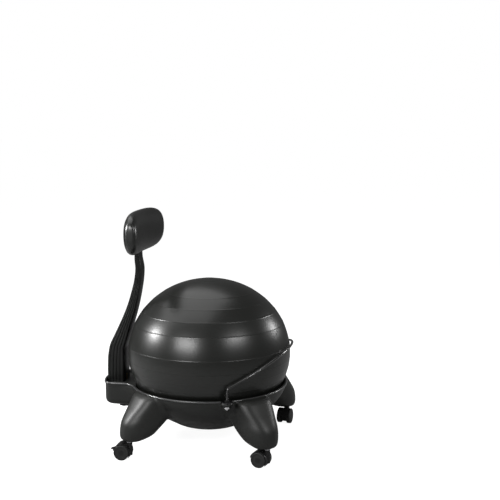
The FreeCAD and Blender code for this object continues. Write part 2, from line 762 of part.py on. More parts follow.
def make_pad():
    outer = pad_body(0)
    shell = outer.cut(pad_body(pad_wall))
    trim = pad_body(pad_wall / 2)
    behind = pad_behind(pad_seam)
    entry = column_layer(-0.04, 1.04, -1.0).common(box(-60, 60, 0, 500, 560, column_line[-1][1] + 1))
    posts, screw_holes, screws = [], [], []
    for x in pad_screw_x:
        for z in pad_screw_z:
            back = pad_middle(x) + pad_depth / 2
            front = v(x, pad_middle(x) - pad_depth, z)
            posts.append(cylinder(screw_post_radius, 2 * pad_depth, front, v(0, 1, 0)))
            seat = v(x, back - screw_sink, z)
            tip = v(x, back - screw_sink - screw_length, z)
            hole_tip = tip - v(0, 1, 0)
            screw_holes.append(cylinder(screw_radius + screw_fit, screw_length + 1, hole_tip, v(0, 1, 0)))
            screw_holes.append(cylinder(screw_head_radius + 0.4, 40, seat, v(0, 1, 0)))
            head = cylinder(screw_head_radius, screw_head_height, seat, v(0, 1, 0))
            shank = cylinder(screw_radius, screw_length, tip, v(0, 1, 0))
            screws.append(head.fuse(shank).removeSplitter())
    pad_pieces = shell.fuse([post.common(trim) for post in posts]).cut(screw_holes)
    bolt_blocks, bolt_holes = [], []
    for z in pad_bolt_heights:
        y = column_front_y(z)
        block = cylinder(pad_bolt_block_radius, 90, v(0, y - 90, z), v(0, 1, 0))
        bolt_blocks.append(block.common(trim))
        bolt_holes.append(cylinder(pad_bolt_radius, 22, v(0, y - pad_bolt_bite - 1, z), v(0, 1, 0)))
    pad_pieces = pad_pieces.cut(entry).fuse(bolt_blocks)
    pad_pieces = pad_pieces.cut(bolt_holes)
    rear = pad_pieces.common(behind)
    front = pad_pieces.cut(behind)
    save(rear, "pad_rear_shell")
    save(front, "pad_front_shell")
    save(Part.makeCompound(screws), "pad_screws")
    bolt_shapes = []
    for z in pad_bolt_heights:
        rear_y = column_rear_y(z)
        tip_y = column_front_y(z) - pad_bolt_bite
        head = hexagon(10, 5, v(0, 0, 0))
        head.rotate(v(0, 0, 0), v(1, 0, 0), -90)
        head.translate(v(0, rear_y + pad_bolt_gap, z))
        shank = cylinder(pad_bolt_radius, rear_y + pad_bolt_gap - tip_y, v(0, tip_y, z), v(0, 1, 0))
        bolt_shapes.append(head.fuse(shank).removeSplitter())
    save(Part.makeCompound(bolt_shapes), "pad_bolts")
    print("pad solids", len(rear.Solids), len(front.Solids))


def column_rear_y(z):
    return column_line[-1][0]


def column_front_y(z):
    return column_rear_y(z) - column_line[-1][2] - 0.5


make_ball()
make_base()
make_stems()
make_casters()
make_bar()
make_column()
make_knob()
make_pad()
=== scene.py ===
import math

import bmesh
import bpy
import numpy as np
from mathutils import Matrix, Vector


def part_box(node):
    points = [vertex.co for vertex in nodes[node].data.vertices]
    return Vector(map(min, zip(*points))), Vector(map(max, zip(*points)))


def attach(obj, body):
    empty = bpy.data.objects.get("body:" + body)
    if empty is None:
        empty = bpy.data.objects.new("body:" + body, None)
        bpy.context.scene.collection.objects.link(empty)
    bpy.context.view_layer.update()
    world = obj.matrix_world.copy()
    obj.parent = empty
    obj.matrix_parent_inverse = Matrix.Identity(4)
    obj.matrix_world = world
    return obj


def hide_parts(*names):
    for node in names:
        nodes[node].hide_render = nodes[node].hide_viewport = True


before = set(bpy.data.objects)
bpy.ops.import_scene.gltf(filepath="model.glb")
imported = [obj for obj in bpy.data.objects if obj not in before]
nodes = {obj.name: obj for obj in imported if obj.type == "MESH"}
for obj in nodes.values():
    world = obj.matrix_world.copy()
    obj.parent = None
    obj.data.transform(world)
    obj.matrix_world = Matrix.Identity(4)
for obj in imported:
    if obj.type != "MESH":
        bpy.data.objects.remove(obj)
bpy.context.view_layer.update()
print("frame loaded")


# Camera at the photograph's place and angle

cameraSet = {"place": (-3.1327, -0.6711, 1.0894), "azimuth": 279.6256, "pitch": 7.7317, "lens": 69.325,
             "sensor": 36.0}


def cameraAxes(azimuth, pitch):
    # the camera's right, up and back directions, with up = back x right
    a, e = math.radians(azimuth), math.radians(pitch)
    back = np.array([math.sin(a) * math.cos(e), -math.cos(a) * math.cos(e), math.sin(e)])
    right = np.array([math.cos(a), math.sin(a), 0.0])
    return right, np.cross(back, right), back


def addCamera():
    # the camera's matrix holds its right, up and back directions and its place as columns
    right, up, back = cameraAxes(cameraSet["azimuth"], cameraSet["pitch"])
    data = bpy.data.cameras.new("camera")
    data.lens = cameraSet["lens"]
    data.sensor_width = cameraSet["sensor"]
    camera = bpy.data.objects.new("camera", data)
    bpy.context.collection.objects.link(camera)
    turn = np.eye(4)
    turn[:3, 0], turn[:3, 1], turn[:3, 2], turn[:3, 3] = right, up, back, cameraSet["place"]
    camera.matrix_world = Matrix(turn.tolist())
    bpy.context.scene.camera = camera


addCamera()


# Mesh helpers

def buildMesh(name, points, faces, material=None):
    # a smooth-shaded piece in the scene from an array of points and a list of faces
    mesh = bpy.data.meshes.new(name)
    mesh.from_pydata(points.tolist(), [], faces)
    mesh.update()
    piece = bpy.data.objects.new(name, mesh)
    bpy.context.collection.objects.link(piece)
    mesh.polygons.foreach_set("use_smooth", [True] * len(mesh.polygons))
    if material is not None:
        mesh.materials.append(material)
    return piece


def gridFaces(rows, columns, wrapRows):
    # the quads between neighbouring rows and columns of a grid of points whose columns run round
    r = np.arange(rows if wrapRows else rows - 1)
    r, c = np.meshgrid(r, np.arange(columns), indexing="ij")
    r2, c2 = (r + 1) % rows, (c + 1) % columns
    quads = np.stack([r * columns + c, r * columns + c2, r2 * columns + c2, r2 * columns + c], -1)
    return quads.reshape(-1, 4).tolist()


def closedLoft(rings):
    # rings of equal length, joined into one closed skin with a fan of faces at each end
    rows, columns = rings.shape[:2]
    k = np.arange(columns)
    k2, top = (k + 1) % columns, (rows - 1) * columns
    first, last = np.full(columns, rows * columns), np.full(columns, rows * columns + 1)
    fans = np.stack([np.stack([first, k2, k], 1), np.stack([last, top + k, top + k2], 1)], 1)
    points = np.vstack([rings.reshape(-1, 3), rings[0].mean(0), rings[-1].mean(0)])
    return points, gridFaces(rows, columns, False) + fans.reshape(-1, 3).tolist()


def spun(profile, steps):
    # a profile of radius and height turned about the upright axis: (r cos a, r sin a, z)
    angle = np.linspace(0, 2 * np.pi, steps, endpoint=False)
    r, z = profile[:, 0][:, None], profile[:, 1][:, None]
    return np.stack([r * np.cos(angle), r * np.sin(angle), z + 0 * angle], -1)


def smoothThrough(points, count):
    # a smooth line through given points: from p to q, h apart, it is the cubic
    # (2s^3 - 3s^2 + 1) p + (s^3 - 2s^2 + s) h m + (3s^2 - 2s^3) q + (s^3 - s^2) h n,
    # and its slopes m and n come from the neighbours
    p = np.asarray(points, float)
    t = np.r_[0, np.cumsum(np.hypot(*np.diff(p, axis=0)[:, :2].T) + 1e-9)]
    slope = np.gradient(p, t, axis=0)
    at = np.linspace(0, t[-1], count)
    k = np.clip(np.searchsorted(t, at, side="right") - 1, 0, len(t) - 2)
    h = (t[k + 1] - t[k])[:, None]
    s = ((at - t[k]) / (t[k + 1] - t[k]))[:, None]
    return ((2 * s ** 3 - 3 * s ** 2 + 1) * p[k] + (s ** 3 - 2 * s ** 2 + s) * h * slope[k]
            + (3 * s ** 2 - 2 * s ** 3) * p[k + 1] + (s ** 3 - s ** 2) * h * slope[k + 1])


def outward(piece, gap=1e-6):
    # points closer than the gap are merged and the faces turned outwards
    work = bmesh.new()
    work.from_mesh(piece.data)
    bmesh.ops.remove_doubles(work, verts=work.verts, dist=gap)
    bmesh.ops.recalc_face_normals(work, faces=work.faces)
    work.to_mesh(piece.data)
    work.free()


def applied(piece):
    # the piece's modifiers are made real
    graph = bpy.context.evaluated_depsgraph_get()
    mesh = bpy.data.meshes.new_from_object(piece.evaluated_get(graph))
    piece.modifiers.clear()
    old = piece.data
    piece.data = mesh
    bpy.data.meshes.remove(old)


# Effects shared by several materials

effectSet = {"grainDetail": 2.0, "wanderScale": 9.0, "wanderDetail": 3.0, "patchDetail": 5.0,
             "patchFrom": 0.55, "patchTo": 0.75, "scuffStretch": (1.0, 1.0, 7.0), "scuffScale": 22.0,
             "scuffWidth": 0.012, "scuffStrength": 0.35}


def newGroup(name, inputs, outputs):
    # an empty node group with named sockets, and its two end nodes
    group = bpy.data.node_groups.new(name, "ShaderNodeTree")
    for socket, kind, value in inputs:
        made = group.interface.new_socket(name=socket, in_out="INPUT", socket_type=kind)
        if value is not None:
            made.default_value = value
    for socket, kind in outputs:
        group.interface.new_socket(name=socket, in_out="OUTPUT", socket_type=kind)
    return group, group.nodes.new("NodeGroupInput"), group.nodes.new("NodeGroupOutput")


def mouldGrainGroup():
    # fine moulded grain as a height, and a roughness that wanders slowly: base + (noise - 0.5) x spread
    group, entry, leave = newGroup(
        "mouldGrain",
        [("Vector", "NodeSocketVector", None), ("Scale", "NodeSocketFloat", 900.0),
         ("Roughness Base", "NodeSocketFloat", 0.4), ("Roughness Spread", "NodeSocketFloat", 0.1)],
        [("Height", "NodeSocketFloat"), ("Roughness", "NodeSocketFloat")])
    new, link = group.nodes.new, group.links.new
    fine = new("ShaderNodeTexNoise")
    fine.inputs["Detail"].default_value = effectSet["grainDetail"]
    link(entry.outputs["Vector"], fine.inputs["Vector"])
    link(entry.outputs["Scale"], fine.inputs["Scale"])
    link(fine.outputs["Fac"], leave.inputs["Height"])
    slow = new("ShaderNodeTexNoise")
    slow.inputs["Scale"].default_value = effectSet["wanderScale"]
    slow.inputs["Detail"].default_value = effectSet["wanderDetail"]
    link(entry.outputs["Vector"], slow.inputs["Vector"])
    centred = new("ShaderNodeMath")
    centred.operation = "SUBTRACT"
    centred.inputs[1].default_value = 0.5
    link(slow.outputs["Fac"], centred.inputs[0])
    spread = new("ShaderNodeMath")
    spread.operation = "MULTIPLY_ADD"
    link(centred.outputs[0], spread.inputs[0])
    link(entry.outputs["Roughness Spread"], spread.inputs[1])
    link(entry.outputs["Roughness Base"], spread.inputs[2])
    link(spread.outputs[0], leave.inputs["Roughness"])
    return group


def handlingWearGroup():
    # faint rubbed patches and hairline scuffs as a mask: amount x (patch + strength x scuff), the sum up to 1
    group, entry, leave = newGroup(
        "handlingWear",
        [("Vector", "NodeSocketVector", None), ("Patch Scale", "NodeSocketFloat", 14.0),
         ("Amount", "NodeSocketFloat", 0.5)],
        [("Mask", "NodeSocketFloat")])
    new, link = group.nodes.new, group.links.new
    patches = new("ShaderNodeTexNoise")
    patches.inputs["Detail"].default_value = effectSet["patchDetail"]
    link(entry.outputs["Vector"], patches.inputs["Vector"])
    link(entry.outputs["Patch Scale"], patches.inputs["Scale"])
    gate = new("ShaderNodeMapRange")
    gate.inputs["From Min"].default_value = effectSet["patchFrom"]
    gate.inputs["From Max"].default_value = effectSet["patchTo"]
    link(patches.outputs["Fac"], gate.inputs["Value"])
    stretch = new("ShaderNodeMapping")
    stretch.inputs["Scale"].default_value = effectSet["scuffStretch"]
    link(entry.outputs["Vector"], stretch.inputs["Vector"])
    hair = new("ShaderNodeTexVoronoi")
    hair.feature = "DISTANCE_TO_EDGE"
    hair.inputs["Scale"].default_value = effectSet["scuffScale"]
    link(stretch.outputs["Vector"], hair.inputs["Vector"])
    thin = new("ShaderNodeMapRange")
    thin.inputs["From Max"].default_value = effectSet["scuffWidth"]
    thin.inputs["To Min"].default_value = 1.0
    thin.inputs["To Max"].default_value = 0.0
    link(hair.outputs["Distance"], thin.inputs["Value"])
    both = new("ShaderNodeMath")
    both.operation = "MULTIPLY_ADD"
    both.use_clamp = True
    both.inputs[1].default_value = effectSet["scuffStrength"]
    link(thin.outputs[0], both.inputs[0])
    link(gate.outputs[0], both.inputs[2])
    amount = new("ShaderNodeMath")
    amount.operation = "MULTIPLY"
    link(both.outputs[0], amount.inputs[0])
    link(entry.outputs["Amount"], amount.inputs[1])
    link(amount.outputs[0], leave.inputs["Mask"])
    return group


mouldGrain = mouldGrainGroup()
handlingWear = handlingWearGroup()


def madeMaterial(name, colour, worn, rough, spread, grain, bump, depth, specular, wear=0.4, patches=14.0,
                 metallic=0.0, coat=0.0, coatRough=0.1):
    # one finish: colour with rubbed patches, grain in bump and roughness
    material = bpy.data.materials.new(name)
    material.use_nodes = True
    tree = material.node_tree
    shader = tree.nodes["Principled BSDF"]
    new, link = tree.nodes.new, tree.links.new
    where = new("ShaderNodeTexCoord")
    surface = new("ShaderNodeGroup")
    surface.node_tree = mouldGrain
    surface.inputs["Scale"].default_value = grain
    surface.inputs["Roughness Base"].default_value = rough
    surface.inputs["Roughness Spread"].default_value = spread
    link(where.outputs["Object"], surface.inputs["Vector"])
    rub = new("ShaderNodeGroup")
    rub.node_tree = handlingWear
    rub.inputs["Patch Scale"].default_value = patches
    rub.inputs["Amount"].default_value = wear
    link(where.outputs["Object"], rub.inputs["Vector"])
    mix = new("ShaderNodeMix")
    mix.data_type = "RGBA"
    mix.inputs["A"].default_value = (*colour, 1)
    mix.inputs["B"].default_value = (*worn, 1)
    link(rub.outputs["Mask"], mix.inputs["Factor"])
    link(mix.outputs["Result"], shader.inputs["Base Color"])
    link(surface.outputs["Roughness"], shader.inputs["Roughness"])
    lift = new("ShaderNodeBump")
    lift.inputs["Strength"].default_value = bump
    lift.inputs["Distance"].default_value = depth
    link(surface.outputs["Height"], lift.inputs["Height"])
    link(lift.outputs["Normal"], shader.inputs["Normal"])
    shader.inputs["Metallic"].default_value = metallic
    shader.inputs["Specular IOR Level"].default_value = specular
    shader.inputs["Coat Weight"].default_value = coat
    shader.inputs["Coat Roughness"].default_value = coatRough
    return material


finishSet = {
    "basePlastic": {"colour": (0.0105, 0.011, 0.010), "worn": (0.017, 0.0175, 0.0175), "rough": 0.43,
                    "spread": 0.10, "grain": 1100.0, "bump": 0.25, "depth": 0.00015, "specular": 0.36},
    # the rim lip's lighter colour is partly wear and partly a painted highlight along the rolled edge
    "lipWornPaintedHighlight": {"colour": (0.030, 0.0305, 0.031), "worn": (0.05, 0.05, 0.05), "rough": 0.3, "spread": 0.10,
                   "grain": 1100.0, "bump": 0.15, "depth": 0.0001, "specular": 0.55, "coat": 0.6,
                   "coatRough": 0.25},
    "columnPlastic": {"colour": (0.005, 0.0055, 0.005), "worn": (0.009, 0.009, 0.009), "rough": 0.4,
                      "spread": 0.10, "grain": 1100.0, "bump": 0.25, "depth": 0.00015, "specular": 0.24},
    "ballVinyl": {"colour": (0.0080, 0.0085, 0.0075), "worn": (0.012, 0.012, 0.0115), "rough": 0.31,
                  "spread": 0.08, "grain": 1500.0, "bump": 0.2, "depth": 0.0001, "specular": 0.5, "wear": 0.3,
                  "patches": 6.0},
    "padGloss": {"colour": (0.007, 0.0075, 0.007), "worn": (0.011, 0.011, 0.011), "rough": 0.33,
                 "spread": 0.06, "grain": 700.0, "bump": 0.1, "depth": 0.0001, "specular": 0.55, "wear": 0.3},
    "barPaint": {"colour": (0.006, 0.006, 0.006), "worn": (0.012, 0.012, 0.012), "rough": 0.28,
                 "spread": 0.1, "grain": 1400.0, "bump": 0.15, "depth": 0.0001, "specular": 0.5, "coat": 1.0,
                 "coatRough": 0.12},
    "zincPlate": {"colour": (0.30, 0.30, 0.31), "worn": (0.2, 0.2, 0.2), "rough": 0.35, "spread": 0.15,
                  "grain": 1600.0, "bump": 0.2, "depth": 0.00008, "specular": 0.5, "metallic": 1.0},
    "darkZinc": {"colour": (0.07, 0.07, 0.072), "worn": (0.12, 0.12, 0.12), "rough": 0.38, "spread": 0.15,
                 "grain": 1600.0, "bump": 0.2, "depth": 0.00008, "specular": 0.5, "metallic": 1.0},
    "chromePlate": {"colour": (0.72, 0.72, 0.73), "worn": (0.5, 0.5, 0.5), "rough": 0.12, "spread": 0.08,
                    "grain": 1600.0, "bump": 0.05, "depth": 0.00005, "specular": 0.5, "metallic": 1.0},
    "turnedBrass": {"colour": (0.6, 0.42, 0.16), "worn": (0.45, 0.3, 0.12), "rough": 0.35, "spread": 0.1,
                    "grain": 1600.0, "bump": 0.2, "depth": 0.00008, "specular": 0.5, "metallic": 1.0},
    "knobPlastic": {"colour": (0.008, 0.008, 0.008), "worn": (0.014, 0.014, 0.014), "rough": 0.5,
                    "spread": 0.1, "grain": 900.0, "bump": 0.4, "depth": 0.0002, "specular": 0.3},
    "wheelNylon": {"colour": (0.014, 0.0142, 0.0138), "worn": (0.024, 0.024, 0.023), "rough": 0.5,
                   "spread": 0.12, "grain": 1300.0, "bump": 0.3, "depth": 0.00015, "specular": 0.3,
                   "wear": 0.8, "patches": 60.0},
    "hoodPlastic": {"colour": (0.006, 0.006, 0.006), "worn": (0.012, 0.012, 0.012), "rough": 0.4,
                    "spread": 0.12, "grain": 1300.0, "bump": 0.3, "depth": 0.00015, "specular": 0.35,
                    "patches": 60.0},
    "plugPlastic": {"colour": (0.010, 0.010, 0.010), "worn": (0.016, 0.016, 0.016), "rough": 0.45,
                    "spread": 0.1, "grain": 1300.0, "bump": 0.3, "depth": 0.00015, "specular": 0.4,
                    "patches": 60.0}}
finish = {name: madeMaterial(name, **values) for name, values in finishSet.items()}
print("materials made")


# Ball: an oval turned about the upright axis, with raised rings and a shallow round seat for the valve plug

ballSet = {
    "centre": 0.309, "inset": 0.0006, "capFrom": 0.99, "bandFlat": 0.30, "ringLift": 0.00027,
    "ringWidth": 0.0010,
    "rings": [0.128, 0.17, 0.2, 0.2325, 0.2635, 0.2931, 0.338, 0.4105, 0.452, 0.487, 0.517],
    "valveAngle": 45.0, "valveHeight": 0.425, "seatRadius": 0.0088, "seatDepth": 0.0031, "seatEdge": 0.00035,
    "collarLift": 0.0008, "collarOut": 0.0035, "collarWidth": 0.0016,
    # the grid's rows and columns, and the reach and count of the closer ones
    "rows": 190, "columns": 200, "poleGap": 0.004, "ringRows": (0.009, 11), "seatRows": (0.045, 41),
    "seatColumns": (0.05, 41)}


def offsets(reachAndCount):
    # evenly spaced numbers from -reach to reach
    reach, count = reachAndCount
    return np.linspace(-reach, reach, count)


def makeBall():
    # radius R sin t and height centre + rise cos t, drawn part of the way to straight lines between rings;
    # a ring is a bell curve of the height, the seat an S curve and its collar a bell curve of the distance
    low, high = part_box("ball_skin")
    radius = 0.5 * (high[0] - low[0])
    centre, rings = ballSet["centre"], np.array(ballSet["rings"])
    rise, drop = high[2] - centre, centre - low[2]

    def rowAt(z):
        # the angle t at which the outline is at height z
        return math.acos((z - centre) / (rise if z > centre else drop))

    # rows crowd at the rings and at the valve's seat, columns only at the seat
    valve, valveRow = math.radians(ballSet["valveAngle"]), rowAt(ballSet["valveHeight"])
    t = [np.linspace(0, np.pi, ballSet["rows"]), valveRow + offsets(ballSet["seatRows"])]
    t += [rowAt(ring) + offsets(ballSet["ringRows"]) for ring in rings]
    t = np.unique(np.round(np.concatenate(t), 6))
    t = t[(t > ballSet["poleGap"]) & (t < np.pi - ballSet["poleGap"])]
    angle = np.unique(np.round(np.concatenate([np.linspace(0, 2 * np.pi, ballSet["columns"], endpoint=False),
                                               valve + offsets(ballSet["seatColumns"])]), 6))
    reach = np.where(t < np.pi / 2, rise, drop)
    r, z = radius * np.sin(t), centre + reach * np.cos(t)
    ringRadius = radius * np.sqrt(1 - ((rings - centre) / np.where(rings > centre, rise, drop)) ** 2)
    chord = np.interp(z, rings, ringRadius)
    r = np.where((z > rings[0]) & (z < rings[-1]), r + ballSet["bandFlat"] * (chord - r), r)
    normalR, normalZ = reach * np.sin(t), radius * np.cos(t)
    size = np.hypot(normalR, normalZ)
    normalR, normalZ = normalR / size, normalZ / size
    # the skin is drawn back a hair so that no ring stands proud of the solid; the caps keep their height
    lift = sum(ballSet["ringLift"] * np.exp(-((z - ring) / ballSet["ringWidth"]) ** 2) for ring in rings)
    lift = lift - ballSet["inset"]
    r, z = r + lift * normalR, z + lift * normalZ * (np.abs(np.cos(t)) < ballSet["capFrom"])
    points = np.stack([r[:, None] * np.cos(angle), r[:, None] * np.sin(angle), z[:, None] + 0 * angle], -1)
    normals = np.stack([normalR[:, None] * np.cos(angle), normalR[:, None] * np.sin(angle),
                        normalZ[:, None] + 0 * angle], -1)
    seat = np.array([radius * math.sin(valveRow) * math.cos(valve),
                     radius * math.sin(valveRow) * math.sin(valve), ballSet["valveHeight"]])
    away = np.linalg.norm(points - seat, axis=-1) - ballSet["seatRadius"]
    sink = ballSet["seatDepth"] * (1 - 1 / (1 + np.exp(-away / ballSet["seatEdge"])))
    collar = (away - ballSet["collarOut"]) / ballSet["collarWidth"]
    sink = sink - ballSet["collarLift"] * np.exp(-collar ** 2)
    skin, faces = closedLoft(points - sink[..., None] * normals)
    piece = buildMesh("ballSkin", skin, faces, finish["ballVinyl"])
    outward(piece)
    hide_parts("ball_skin")
    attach(piece, "ball")


makeBall()
print("ball made")


# Base: bowl, legs and platform as closed skins run together into one moulded body, then dish and tray cut out

baseSet = {
    # the bowl's outline, radius and height in mm, and the dish that is cut out of it
    "bowl": [(0, 60), (88, 60), (116, 70), (143, 85), (175, 104), (202, 122), (238, 155), (257, 186),
             (262.3, 208.5)],
    "axisGap": 0.002, "bowlFlat": 0.05, "dishRadius": 0.283, "dishDrop": 0.2448, "dishTop": 0.214,
    "dishOut": 0.004, "dishTurn": (0.01, 1.25), "cutTop": 0.24,
    # the rim seen from above, and its rolled lip
    "rimRadius": 0.2655, "rimHeight": 0.2085, "lipRadius": 0.0032, "blend": 0.060, "rear": 0.360,
    "bow": 0.200, "corner": 0.024,
    # the platform: half-width, lower edge, the flare of its sides and the tray in its top
    "platformHalf": 0.090, "platformBottom": 0.129, "platformTop": 0.2078, "platformFrom": 0.19,
    "platformEdge": 0.018, "edgeGap": 0.006, "rearDraw": (0.25, 0.06), "flareFrom": 0.150,
    "flareHeight": 0.050, "flarePower": 1.5, "wall": 0.004, "floor": 0.197, "trayFrom": 0.232,
    # the lugs for the bar, radius and height, and the webs below them
    "lug": [(0.002, 0.198), (0.0185, 0.198), (0.020, 0.1995), (0.020, 0.2075), (0.0185, 0.209),
            (0.002, 0.209)],
    "web": [(0.002, 0.172), (0.011, 0.182), (0.017, 0.194), (0.017, 0.206)],
    "lugPlace": (0.256, -0.110), "webPlace": (0.246, -0.106),
    # how the joined skins are softened, and where they are left as they are: x, y, radius and fade
    "voxel": 0.0036, "easeFactor": 0.5, "smoothing": 12, "hollowSmoothing": 90, "hollowFill": 1.6,
    "hollowTop": 0.205, "hollowFade": 0.01, "lugKeep": (0.252, -0.110, 0.022, 0.03), "settling": 6,
    "sharpAngle": 42.0}
# how many levels each skin has, and how many points round it
baseGrid = {"outline": 720, "circle": 200, "bend": 60, "bowl": (60, 200), "leg": (40, 64),
            "platform": (9, 14), "lug": 40, "dish": (90, 240), "lip": 16}
legRows = [
    # height, outer end past the stem, half-width, squareness, inner end, inner half-width, lengths in mm
    (62, 16, 36, 1.0, -30, 28), (66, 23, 40, 0.95, -52, 39), (75, 28, 41, 0.9, -75, 55),
    (94, 27, 43, 0.85, -94, 72), (118, 22, 45, 0.8, -120, 81), (145, 5, 50, 0.75, -150, 81),
    (172, -17, 57, 0.7, -162, 78), (190, -31, 61, 0.7, -167, 72), (200, -39, 61, 0.7, -170, 66),
    (206, -50, 56, 0.7, -170, 57)]
stems = [(-0.240, 0.215), (-0.240, -0.235), (0.240, -0.235), (0.240, 0.215)]


def arc(x, y, radius, start, end, count=baseGrid["bend"]):
    # (x + radius cos a, y + radius sin a)
    angle = np.linspace(start, end, count)
    return np.stack([x + radius * np.cos(angle), y + radius * np.sin(angle)], 1)


def rimOutline(inset):
    # the rim seen from above: a circle, hollow blends, straight sides, round corners and a bowed rear;
    # a blend touches circle and side, so its centre is at x = half + blend, y = sqrt((r + blend)^2 - x^2)
    half, r = baseSet["platformHalf"] - inset, baseSet["rimRadius"] - baseSet["lipRadius"] - inset
    blend, bow, corner = baseSet["blend"] + inset, baseSet["bow"] - inset, baseSet["corner"] - inset
    bowY = baseSet["rear"] - baseSet["bow"]
    blendX = half + blend
    blendY = math.sqrt((r + blend) ** 2 - blendX ** 2)
    join = math.atan2(blendY, blendX)
    cornerX = half - corner
    cornerY = bowY + math.sqrt((bow - corner) ** 2 - cornerX ** 2)
    lean = math.atan2(cornerY - bowY, cornerX)
    right = np.vstack([arc(0, 0, r, -np.pi / 2, join, baseGrid["circle"]),
                       arc(blendX, blendY, blend, join + np.pi, np.pi),
                       arc(cornerX, cornerY, corner, 0, lean), arc(0, bowY, bow, lean, np.pi / 2)])
    left = right[::-1] * [-1, 1]
    line = np.vstack([right, left[1:-1], right[:1]])
    along = np.r_[0, np.cumsum(np.hypot(*np.diff(line, axis=0).T))]
    at = np.linspace(0, along[-1], baseGrid["outline"], endpoint=False)
    return np.stack([np.interp(at, along, line[:, 0]), np.interp(at, along, line[:, 1])], 1)


def legRings(x, y):
    # each level is a rounded tongue: along it d = middle + half length x cos^q, across it w = width x sin^q,
    # with the signs of cos and sin, and the width runs evenly from the inner to the outer end
    reach, turn = math.hypot(x, y), math.atan2(y, x)
    levels, around = baseGrid["leg"]
    rows = smoothThrough([(z * 0.001, reach + out * 0.001, half * 0.001, square, reach + inner * 0.001,
                           wide * 0.001) for z, out, half, square, inner, wide in legRows], levels)
    angle = np.linspace(0, 2 * np.pi, around, endpoint=False)
    c, s = np.cos(angle), np.sin(angle)
    z, out, half, square, inner, wide = [rows[:, k][:, None] for k in range(6)]
    d = 0.5 * (out + inner) + 0.5 * (out - inner) * np.sign(c) * np.abs(c) ** square
    w = 0.5 * (half * (1 + c) + wide * (1 - c)) * np.sign(s) * np.abs(s) ** square
    return np.stack([d * math.cos(turn) - w * math.sin(turn), d * math.sin(turn) + w * math.cos(turn),
                     z + 0 * angle], -1)


def platformRings():
    # the rear part of the rim outline carried down: its sides reach ((z - start) / height)^1.5 of the way out
    # to the rim, and its lower edge is drawn in on a quarter round, by edge (1 - cos a) at edge (1 - sin a)
    outline = rimOutline(0.0)
    x, y = outline[outline[:, 1] > baseSet["platformFrom"]].T
    half, edge, bottom = baseSet["platformHalf"], baseSet["platformEdge"], baseSet["platformBottom"]
    edgeRows, sideRows = baseGrid["platform"]
    drawFrom, drawOver = baseSet["rearDraw"]
    turn = np.linspace(0, np.pi / 2, edgeRows)[::-1]
    sides = np.linspace(bottom + edge + baseSet["edgeGap"], baseSet["platformTop"], sideRows)
    z = np.r_[bottom + edge * (1 - np.sin(turn)), sides][:, None]
    draw = np.r_[edge * (1 - np.cos(turn)), 0 * sides][:, None]
    flare = np.clip((z - baseSet["flareFrom"]) / baseSet["flareHeight"], 0, 1) ** baseSet["flarePower"]
    flared = np.sign(x) * (half + (np.abs(x) - half) * flare)
    x = np.where(np.abs(x) > half, flared, x) * ((half - draw) / half)
    y = y - draw * np.clip((y - drawFrom) / drawOver, 0, 1)
    return np.stack([x, y, z + 0 * x], -1)


def joined(parts):
    # several skins as one list of points and one of faces
    points, faces, offset = [], [], 0
    for p, f in parts:
        points.append(p)
        faces += [[i + offset for i in face] for face in f]
        offset += len(p)
    return np.vstack(points), faces


def numbersOf(items, attribute):
    # one vector for each item of a mesh
    flat = np.empty(len(items) * 3)
    items.foreach_get(attribute, flat)
    return flat.reshape(-1, 3)


def eased(body, rounds):
    # each point moves part of the way to the mean of its neighbours, again and again
    ease = body.modifiers.new("ease", "SMOOTH")
    ease.factor = baseSet["easeFactor"]
    ease.iterations = rounds


def fillHollows(body):
    # creases between legs, wall and platform are filled with wide soft hollows: each point moves outwards
    # only, by max(0, (q - p) . n), where q is the same point of a much smoother copy; lugs and rim stay
    mesh = body.data
    before, normal = numbersOf(mesh.vertices, "co"), numbersOf(mesh.vertex_normals, "vector")
    eased(body, baseSet["hollowSmoothing"])
    graph = bpy.context.evaluated_depsgraph_get()
    after = numbersOf(body.evaluated_get(graph).data.vertices, "co")
    body.modifiers.clear()
    push = np.maximum(0, np.sum((after - before) * normal, 1))
    x, y, keep, fade = baseSet["lugKeep"]
    lug = np.hypot(np.abs(before[:, 0]) - x, before[:, 1] - y)
    push *= np.clip((lug - keep) / fade, 0, 1)
    push *= np.clip((baseSet["hollowTop"] - before[:, 2]) / baseSet["hollowFade"], 0, 1)
    mesh.vertices.foreach_set("co", (before + push[:, None] * normal * baseSet["hollowFill"]).ravel())
    mesh.update()
    eased(body, baseSet["settling"])
    applied(body)


def dishTool():
    # the dish the ball sits in: r = a sin t, z = centre - b cos t, then straight out and up
    levels, around = baseGrid["dish"]
    t = np.linspace(*baseSet["dishTurn"], levels)
    z = ballSet["centre"] - baseSet["dishDrop"] * np.cos(t)
    dish = np.stack([baseSet["dishRadius"] * np.sin(t), z], 1)
    dish = dish[dish[:, 1] < baseSet["dishTop"]]
    top = [[dish[-1, 0] + baseSet["dishOut"], baseSet["cutTop"]], [baseSet["axisGap"], baseSet["cutTop"]]]
    return buildMesh("dishTool", *closedLoft(spun(np.vstack([dish, top]), around)))


def trayTool():
    # the rear part of the rim outline, a wall's thickness further in, from the tray's floor up
    tray = rimOutline(baseSet["wall"])
    tray = tray[tray[:, 1] > baseSet["trayFrom"]]
    levels = [np.column_stack([tray, np.full(len(tray), z)]) for z in (baseSet["floor"], baseSet["cutTop"])]
    return buildMesh("trayTool", *closedLoft(np.array(levels)))


